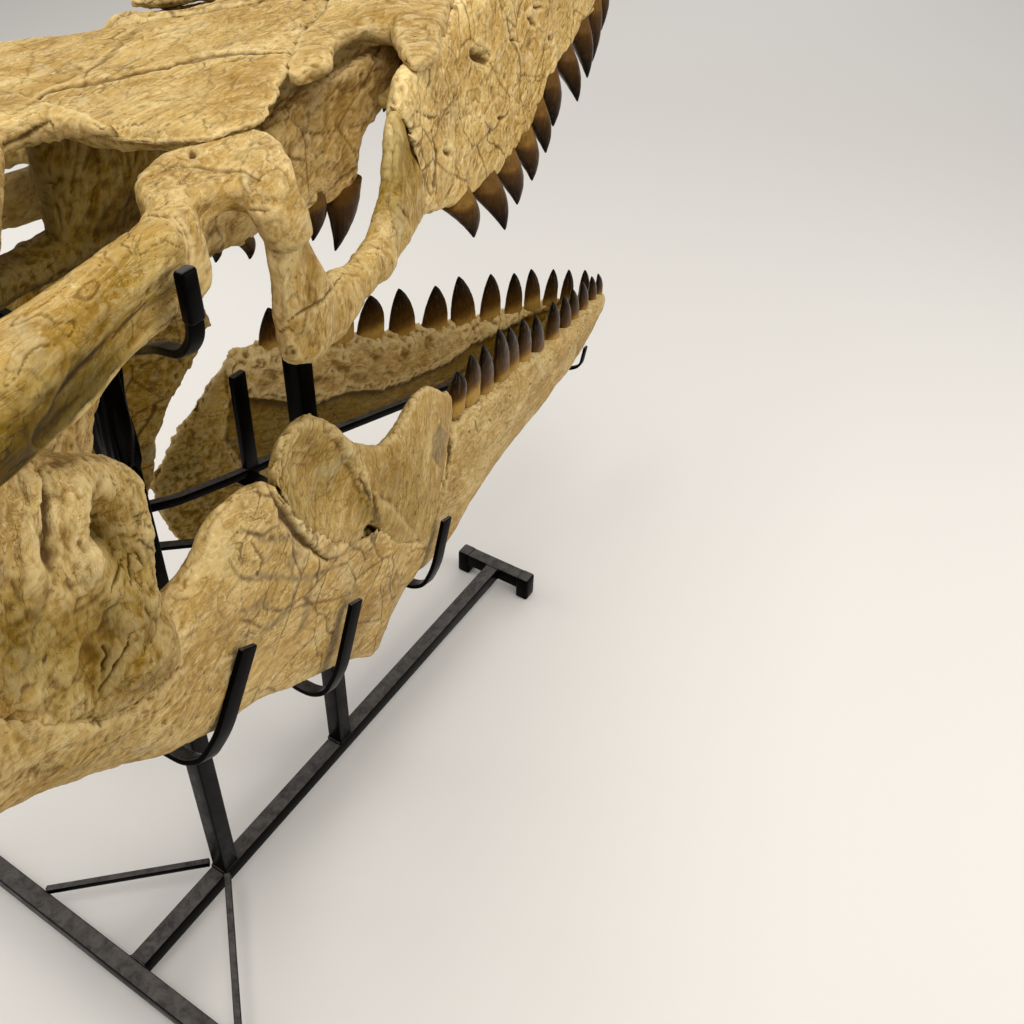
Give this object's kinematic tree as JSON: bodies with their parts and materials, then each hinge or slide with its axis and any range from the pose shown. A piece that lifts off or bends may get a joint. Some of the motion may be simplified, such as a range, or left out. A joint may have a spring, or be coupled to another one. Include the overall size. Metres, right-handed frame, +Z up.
{
  "type": "mosasaur skull fossil",
  "caption": "Mounted mosasaur skull, mouth wide open, recurved dark teeth, ochre bone with cracks, on a black welded square-tube floor stand with posts, hooks and straps.",
  "frame": {"origin": "centre of the bounding box on the floor", "axes": "+X along the skull towards the snout and along the floor beam, +Y towards the animal's left, +Z up"},
  "size_m": [1.467, 0.674, 1.1174],
  "materials": {
    "bone": "matt ochre fossil bone, fibrous and cracked",
    "bone_toothed": "matt ochre fossil bone with glossy dark brown to black tooth crowns",
    "steel": "satin black painted square tube and flat bar, scuffed"
  },
  "bodies": {
    "root": {"braincase": "bone", "coronoid_L": "bone", "coronoid_R": "bone", "dentary_L": "bone_toothed", "dentary_R": "bone_toothed", "frontal": "bone", "jugal_L": "bone", "jugal_R": "bone", "maxilla_L": "bone_toothed", "maxilla_R": "bone_toothed", "palatine_L": "bone", "palatine_R": "bone", "parietal": "bone", "postorbitofrontal_L": "bone", "postorbitofrontal_R": "bone", "prefrontal_L": "bone", "prefrontal_R": "bone", "premaxilla": "bone_toothed", "pterygoid_L": "bone_toothed", "pterygoid_R": "bone_toothed", "quadrate_L": "bone", "quadrate_R": "bone", "squamosal_L": "bone", "squamosal_R": "bone", "stand_arch_hook_L": "steel", "stand_arch_hook_R": "steel", "stand_base": "steel", "stand_brace_L": "steel", "stand_brace_R": "steel", "stand_jaw_rod": "steel", "stand_post_front": "steel", "stand_post_rear": "steel", "stand_strap_front_L": "steel", "stand_strap_front_R": "steel", "stand_strap_mid_L": "steel", "stand_strap_mid_R": "steel", "stand_strap_rear_L": "steel", "stand_strap_rear_R": "steel", "surangular_angular_L": "bone", "surangular_angular_R": "bone", "vomer": "bone"}
  },
  "joints": []
}
